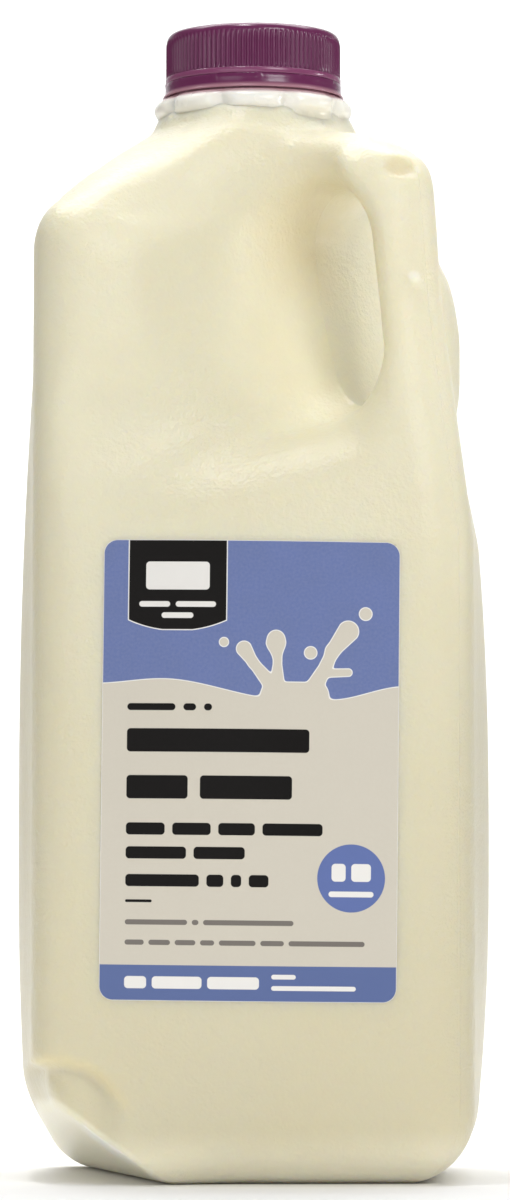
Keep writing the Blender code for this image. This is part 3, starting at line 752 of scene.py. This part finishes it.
def bridged(radius, height, angle):
    """At each bridge the top edge stands out and reaches up to the cap, with eased sides."""
    pitch = 2.0 * math.pi / BRIDGES
    turn = np.degrees(np.abs((angle + BRIDGE_TURN) % pitch - pitch / 2))
    bridge = 1.0 - ease(turn, BRIDGE_HALF_DEG - BRIDGE_SOFT_DEG, BRIDGE_HALF_DEG + BRIDGE_SOFT_DEG)
    radius = radius + BRIDGE_OUT * bridge * (height > BRIDGE_OUT_Z) * (radius > BORE_RADIUS)
    return radius, height + BRIDGE_UP * bridge * (height > BRIDGE_UP_Z)


band_outline = np.array([(19.55, 243.61), (19.66, 243.5), (19.7, 242.6), (19.72, 241.8), (19.85, 241.2),
                         (20.15, 240.8), (20.3, 240.5), (20.1, 240.45), (19.5, 240.5), (19.0, 240.55),
                         (18.6, 240.7), (18.6, 243.5), (18.7, 243.61)])[::-1]
points, faces = carried_round(band_outline, 480, bridged)
plum_band = plum_finish("plum_band", lip=BAND_LIP)
solid_piece("tamper_hoop", points, faces[:, ::-1], plum_band, "tamper_band")

# %% [markdown]
# ## The label
# The label is a thin sheet with round corners, wrapped on the swollen front panel. Its shape is a grid
# of (u, v) places on the flat label, each carried to the skin along Y with Newton's rule on the jug's
# own field. u and v are also kept as its UV map, which the print reads.

# %% Label sheet
LABEL_WIDTH, LABEL_HEIGHT, LABEL_CORNER = 63.4, 98.4, 3.0
LABEL_X, LABEL_Z, LABEL_TILT = -0.7, 88.5, math.radians(-0.6)
LABEL_LIFT, LABEL_THICKNESS = 0.06, 0.14
UV_SPAN = 100.0
PROBE = 0.05


def label_grid(columns=64, rows=96):
    """(u, v) on the flat label: sine spacing, and each corner's points drawn in to its circle."""
    half_u, half_v = LABEL_WIDTH / 2, LABEL_HEIGHT / 2
    u = half_u * np.sin(np.linspace(-math.pi / 2, math.pi / 2, columns + 1))
    v = half_v * np.sin(np.linspace(-math.pi / 2, math.pi / 2, rows + 1))
    u, v = np.meshgrid(u, v, indexing="ij")
    over_u = np.abs(u) - half_u + LABEL_CORNER
    over_v = np.abs(v) - half_v + LABEL_CORNER
    reach = np.hypot(over_u, over_v)
    outside = (over_u > 0) & (over_v > 0) & (reach > LABEL_CORNER)
    scale = np.where(outside, LABEL_CORNER / np.maximum(reach, 1e-9), 1.0)
    u = np.where(outside, np.sign(u) * (half_u - LABEL_CORNER + over_u * scale), u)
    v = np.where(outside, np.sign(v) * (half_v - LABEL_CORNER + over_v * scale), v)
    return u, v


def skin_y(x, z):
    """Where the front of the skin is: y moves by field / slope until the field is zero."""
    y = np.full_like(x, -HALF_WIDTH - FRONT_SWELL[0])
    for _ in range(8):
        here = jug_field(x, y, z)
        y = y - here * 2.0 * PROBE / (jug_field(x, y + PROBE, z) - jug_field(x, y - PROBE, z))
    return y


def open_faces(rows, columns):
    """The quads of an open grid, (rows - 1)(columns - 1) of them, facing -Y."""
    row, column = np.meshgrid(np.arange(rows - 1), np.arange(columns - 1), indexing="ij")
    first = row * columns + column
    return np.stack([first, first + columns, first + columns + 1, first + 1], axis=-1).reshape(-1, 4)


u, v = label_grid()
x = LABEL_X + u * math.cos(LABEL_TILT) - v * math.sin(LABEL_TILT)
z = LABEL_Z + u * math.sin(LABEL_TILT) + v * math.cos(LABEL_TILT)
y = skin_y(x, z) - LABEL_LIFT
label_points = np.stack([x, y, z], axis=-1).reshape(-1, 3)
label_uv = np.stack([u.ravel(), v.ravel()], axis=1) / UV_SPAN + 0.5
print("label from x", x.min().round(1), "to", x.max().round(1))
print("label from z", z.min().round(1), "to", z.max().round(1))

# %% [markdown]
# ### The print
# The print has a blue field over a pale one. The pale field rises in a splash of three tendrils, with
# loose drops, and there is a dark tab at the top, a plain blue disc at the right and a blue strip
# along the bottom. Lines of plain rounded bars stand where a real label has its words. Every shape is
# a distance worked out by nodes from the UV map, in millimetres from the label's middle, and a colour
# changes where it is zero.

# %% Shapes for the print
class Print(Net):
    """Distances in millimetres on the flat label, as node networks."""

    def __init__(self, name):
        super().__init__(name)
        uv = self.node("ShaderNodeUVMap", uv_map="label_mm")
        centred = self.vector("SUBTRACT", uv, (0.5, 0.5, 0.0))
        self.at = self.vector("MULTIPLY", centred, (UV_SPAN, UV_SPAN, 0.0))
        self.u, self.v, _ = self.axes(self.at)

    def drop(self, u, v, radius):
        return self.math("SUBTRACT", self.vector("DISTANCE", self.at, (u, v, 0.0), output=1), radius)

    def limb(self, start, end, radius_start, radius_end):
        """A rounded limb that goes from one radius to another."""
        run = (end[0] - start[0], end[1] - start[1], 0.0)
        length2 = run[0] ** 2 + run[1] ** 2
        away = self.vector("SUBTRACT", self.at, (*start, 0.0))
        share = self.math("DIVIDE", self.vector("DOT_PRODUCT", away, run, output=1), length2, clamp=True)
        foot = self.vector("MULTIPLY", run, self.node("ShaderNodeCombineXYZ", (share, share, 0.0)))
        gap = self.vector("DISTANCE", away, foot, output=1)
        radius = self.math("MULTIPLY_ADD", share, radius_end - radius_start, radius_start)
        return self.math("SUBTRACT", gap, radius)

    def block(self, u, v, half_u, half_v, radius):
        """A rectangle with round corners."""
        away = self.vector("ABSOLUTE", self.vector("SUBTRACT", self.at, (u, v, 0.0)))
        over = self.vector("SUBTRACT", away, (half_u - radius, half_v - radius, 0.0))
        past = self.vector("LENGTH", self.vector("MAXIMUM", over, (0.0, 0.0, 0.0)), output=1)
        return self.math("SUBTRACT", past, radius)

    def joined(self, shapes, soft=0.0):
        """Inside any of the shapes, with soft corners between them where soft is above zero."""
        whole = shapes[0]
        for shape in shapes[1:]:
            rule = ("SMOOTH_MIN", whole, shape, soft) if soft else ("MINIMUM", whole, shape)
            whole = self.math(*rule)
        return whole

    def inside(self, distance, edge=0.05):
        return self.math("SUBTRACT", 1.0, self.step(distance, -edge, edge))


# %% Fields, splash and bars
BLUE, BLUE_DEEP, PALE = (0.130, 0.180, 0.415), (0.120, 0.165, 0.350), (0.640, 0.595, 0.500)
WHITE_EDGE, INK, GREY_INK = (0.86, 0.84, 0.80), (0.006, 0.005, 0.0045), (0.20, 0.18, 0.16)
SPLASH = [((-1.5, 25.9), (0.5, 22.9), 1.65, 1.05), ((0.5, 22.9), (4.2, 18.5), 1.05, 1.6),
          ((5.3, 28.1), (5.3, 27.2), 1.85, 1.95), ((5.3, 27.2), (5.65, 23.6), 1.95, 0.78),
          ((5.65, 23.6), (5.6, 19.0), 0.78, 1.5), ((20.7, 29.9), (17.4, 25.7), 2.25, 1.45),
          ((17.4, 25.7), (16.2, 22.8), 1.45, 1.25), ((16.2, 22.8), (13.8, 18.3), 1.25, 1.8),
          ((16.3, 20.9), (20.8, 21.1), 0.9, 0.82), ((4.7, 16.4), (14.1, 16.4), 2.5, 2.5)]
DROPS = [(-5.8, 27.3, 1.0), (12.7, 25.2, 1.35), (24.4, 33.7, 1.38)]
# Bars that stand for words: line's height, half thickness, and the (start, end) of each bar.
LINES = [(13.4, 0.75, [(-26.3, -16.0), (-14.3, -11.6), (-9.9, -8.2)]),
         (6.3, 2.5, [(-26.3, 12.6)]), (-3.7, 2.5, [(-26.3, -13.2), (-10.6, 9.0)]),
         (-12.6, 1.3, [(-26.3, -18.0), (-16.4, -8.2), (-6.6, 1.2), (2.8, 15.6)]),
         (-17.7, 1.3, [(-26.3, -13.4), (-11.8, -0.9)]),
         (-23.6, 1.3, [(-26.3, -10.6), (-9.0, -5.4), (-3.8, -1.6), (0.0, 4.2)]),
         (-28.0, 0.3, [(-26.3, -20.6)])]
FAINT_LINES = [(-32.5, 0.55, [(-26.3, -13.0), (-12.0, -10.6), (-9.6, 9.6)]),
               (-36.8, 0.55, [(-26.3, -22.2), (-21.2, -16.6), (-15.6, -11.2), (-10.2, -7.2), (-6.2, 1.6),
                              (2.6, 7.6), (8.6, 24.8)])]
PALE_LINES = [(-45.3, 1.3, [(-26.3, -21.6), (-20.4, -9.8), (-8.6, 2.4)]),
              (-43.9, 0.5, [(5.0, 10.2)]), (-46.3, 0.5, [(5.0, 23.0)]),
              (-21.6, 1.9, [(17.6, 20.6), (21.8, 26.0)]), (-26.2, 0.6, [(17.0, 26.6)])]
TAB_LINES = [(41.5, 3.0, [(-22.6, -9.0)]), (35.4, 0.6, [(-24.0, -17.4), (-16.2, -7.6)]),
             (33.0, 0.6, [(-19.2, -12.4)])]
TAB_BLOCK, TAB_DISC, DISC = (-15.8, 47.0, 10.4, 17.0, 2.2), (-15.8, 55.0, 25.2), (21.8, -22.8, 7.25)
STRIP_TOP, TAB_RIM, SPLASH_SOFT, WAVE_SOFT, RIM_HALF = -41.6, 0.22, 0.9, 2.4, 0.10
# The wave's height, then each change of it: (from u, to u, by how much), eased in between.
WAVE_START, WAVE_CHANGES = 18.4, [(-33.0, -19.0, 1.0), (-19.0, 7.0, -4.2), (17.0, 33.0, 3.1)]


def bars(net, lines):
    """Rounded bars for lines of words."""
    found = []
    for height, half, spans in lines:
        for start, end in spans:
            found.append(net.block((start + end) / 2, height, (end - start) / 2, half, min(half, 0.8)))
    return net.inside(net.joined(found))


def pale_field(net):
    """Distance to the pale field: below the wave, with the splash that rises from it and the drops."""
    wave = WAVE_START
    for start, end, change in WAVE_CHANGES:
        wave = net.math("MULTIPLY_ADD", net.step(net.u, start, end), change, wave)
    splash = net.joined([net.limb(*limb) for limb in SPLASH], SPLASH_SOFT)
    pale = net.math("SMOOTH_MIN", net.math("SUBTRACT", net.v, wave), splash, WAVE_SOFT)
    return net.joined([pale] + [net.drop(*drop) for drop in DROPS])


def label_finish():
    net = Print("printed_label")
    pale = pale_field(net)
    blue = net.mix(net.noise(net.at, 0.12, 3.0), BLUE_DEEP, BLUE)
    colour = net.mix(net.inside(pale), blue, PALE)
    grain = net.noise(net.at, 1.6, 3.0)
    colour = net.tinted(colour, grain, 0.08, (0.9, 0.88, 0.84))
    rim = net.inside(net.math("SUBTRACT", net.math("ABSOLUTE", pale), RIM_HALF))
    colour = net.mix(rim, colour, WHITE_EDGE)
    colour = net.mix(bars(net, LINES), colour, INK)
    colour = net.mix(bars(net, FAINT_LINES), colour, GREY_INK)
    colour = net.mix(net.inside(net.drop(*DISC)), colour, BLUE)
    colour = net.mix(net.inside(net.math("SUBTRACT", net.v, STRIP_TOP)), colour, BLUE_DEEP)
    colour = net.mix(bars(net, PALE_LINES), colour, WHITE_EDGE)
    tab = net.math("MAXIMUM", net.block(*TAB_BLOCK), net.drop(*TAB_DISC))
    colour = net.mix(net.inside(net.math("SUBTRACT", tab, TAB_RIM)), colour, WHITE_EDGE)
    colour = net.mix(net.inside(tab), colour, INK)
    colour = net.mix(bars(net, TAB_LINES), colour, (0.80, 0.78, 0.74))
    sheet = net.block(0.0, 0.0, LABEL_WIDTH / 2, LABEL_HEIGHT / 2, LABEL_CORNER)
    colour = net.mix(net.step(sheet, -0.16, -0.06), colour, WHITE_EDGE)
    net.set(base_color=colour, roughness=net.math("MULTIPLY_ADD", grain, 0.15, 0.36))
    net.set(normal=net.relief(net.noise(net.at, 0.35, 3.0), 0.2, 0.0004), specular_ior_level=0.12)
    return net.material


label_faces = open_faces(*u.shape)
front_sheet = solid_piece("front_sheet", label_points, label_faces, label_finish(), "front_label")
layer = front_sheet.data.uv_layers.new(name="label_mm")
corner_points = np.empty(len(front_sheet.data.loops), int)
front_sheet.data.loops.foreach_get("vertex_index", corner_points)
layer.data.foreach_set("uv", label_uv[corner_points].ravel())
wall = front_sheet.modifiers.new("Thickness", "SOLIDIFY")
wall.thickness = LABEL_THICKNESS * MM
wall.offset = 1.0
print("label thickness in mm:", LABEL_THICKNESS)

# %% [markdown]
# ## Studio
# The jug stands on a plain pale sweep. The camera is low, about a quarter of the way up the jug, and
# looks up a little. A large soft light hangs to the upper right, weaker ones fill from the left and
# from low down, and a small one overhead draws the bright lines on the shoulder, the grip's floor and
# the cap's rim. Two narrow lights reach small places that these miss: the grip's wall and the facet.
# Two big ones light the floor behind the jug and the backdrop.

# %% Sweep
SWEEP_FRONT_Y, SWEEP_BEND_Y, SWEEP_BEND, SWEEP_TOP_Z, SWEEP_HALF = -5.0, 4.0, 0.6, 4.0, 5.0
SWEEP_STEPS, SWEEP_COLUMNS = 24, 11


def sweep_piece():
    """A floor that curves up into a backdrop: (x, y(t), z(t)) in metres, for floor, arc and wall."""
    arc = np.radians(np.linspace(-90.0, 0.0, SWEEP_STEPS + 1))
    path_y = np.concatenate([[SWEEP_FRONT_Y], SWEEP_BEND_Y + SWEEP_BEND * np.cos(arc),
                             [SWEEP_BEND_Y + SWEEP_BEND]])
    path_z = np.concatenate([[0.0], SWEEP_BEND + SWEEP_BEND * np.sin(arc), [SWEEP_TOP_Z]])
    across = np.linspace(-SWEEP_HALF, SWEEP_HALF, SWEEP_COLUMNS)
    x = np.repeat(across[:, None], len(path_y), axis=1)
    points = np.stack([x, np.broadcast_to(path_y, x.shape), np.broadcast_to(path_z, x.shape)], axis=-1)
    mesh = bpy.data.meshes.new("sweep")
    mesh.from_pydata(points.reshape(-1, 3).tolist(), [], open_faces(*x.shape).tolist())
    mesh.shade_smooth()
    sweep = bpy.data.objects.new("sweep", mesh)
    bpy.context.scene.collection.objects.link(sweep)
    net = Net("pale_sweep")
    net.set(base_color=(0.96, 0.96, 0.96, 1.0), roughness=0.8)
    mesh.materials.append(net.material)
    return sweep


sweep_piece()
print("sweep: floor, bend of", SWEEP_BEND, "m and wall")


# %% Lights and world
def hang(name, light, place, aim, watts):
    """Puts a light in the scene at a place, turned to a point."""
    light.energy = watts
    lamp = bpy.data.objects.new(name, light)
    lamp.location = place
    lamp.rotation_euler = (Vector(aim) - Vector(place)).to_track_quat("-Z", "Y").to_euler()
    bpy.context.scene.collection.objects.link(lamp)


def soft_light(name, place, aim, size, watts):
    """A square area light that looks at a point."""
    light = bpy.data.lights.new(name, "AREA")
    light.shape = "SQUARE"
    light.size = size
    hang(name, light, place, aim, watts)


def narrow_light(name, place, aim, cone_deg, watts):
    """A spot with a soft rim that lights one small place."""
    light = bpy.data.lights.new(name, "SPOT")
    light.spot_size = math.radians(cone_deg)
    light.spot_blend = 1.0
    light.shadow_soft_size = 0.07
    hang(name, light, place, aim, watts)


# Places, the points that they look at and sizes are in metres.
soft_light("key", (0.6, -1.0, 0.75), (0.0, 0.0, 0.18), 0.5, 6.1)
soft_light("fill", (-0.7, -1.2, 0.4), (0.0, 0.0, 0.15), 0.7, 2.4)
soft_light("low_fill", (-0.1, -1.3, 0.2), (0.0, 0.0, 0.1), 0.4, 1.3)
soft_light("top", (-0.1, -0.15, 1.0), (0.0, 0.0, 0.2), 0.1, 2.1)
narrow_light("grip_light", (0.52, 0.05, 0.22), (0.022, -0.006, 0.19), 11.0, 7.5)
narrow_light("facet_light", (-0.85, -0.35, 0.03), (-0.036, -0.04, 0.012), 6.0, 9.0)
soft_light("floor_light", (0.0, 0.75, 1.5), (0.0, 1.7, 0.1), 1.6, 37.0)
soft_light("backdrop_light", (0.0, 2.6, 2.3), (0.0, 3.9, 0.2), 2.4, 72.0)
AIR = 0.14
world = bpy.data.worlds.new("studio")
world.use_nodes = True
air = world.node_tree.nodes["Background"]
air.inputs["Color"].default_value = (1.0, 1.0, 1.0, 1.0)
air.inputs["Strength"].default_value = AIR
bpy.context.scene.world = world
bpy.context.scene.view_settings.view_transform = "Standard"
print("lights:", sorted(light.name for light in bpy.data.lights))

# %% Camera
FRAME_HEIGHT_MM, LENS_SHARE = 36.0, 4.4
CAMERA_PLACE, CAMERA_UP_DEG, CAMERA_TURN_DEG = (0.0, -1.177, 0.0576), 3.42, -0.02
camera_data = bpy.data.cameras.new("camera")
camera_data.sensor_fit = "VERTICAL"
camera_data.sensor_height = FRAME_HEIGHT_MM
camera_data.lens = LENS_SHARE * FRAME_HEIGHT_MM
camera = bpy.data.objects.new("camera", camera_data)
camera.location = CAMERA_PLACE
camera.rotation_euler = (math.radians(90.0 + CAMERA_UP_DEG), 0.0, math.radians(CAMERA_TURN_DEG))
bpy.context.scene.collection.objects.link(camera)
bpy.context.scene.camera = camera
print("lens in mm:", round(camera_data.lens, 1))
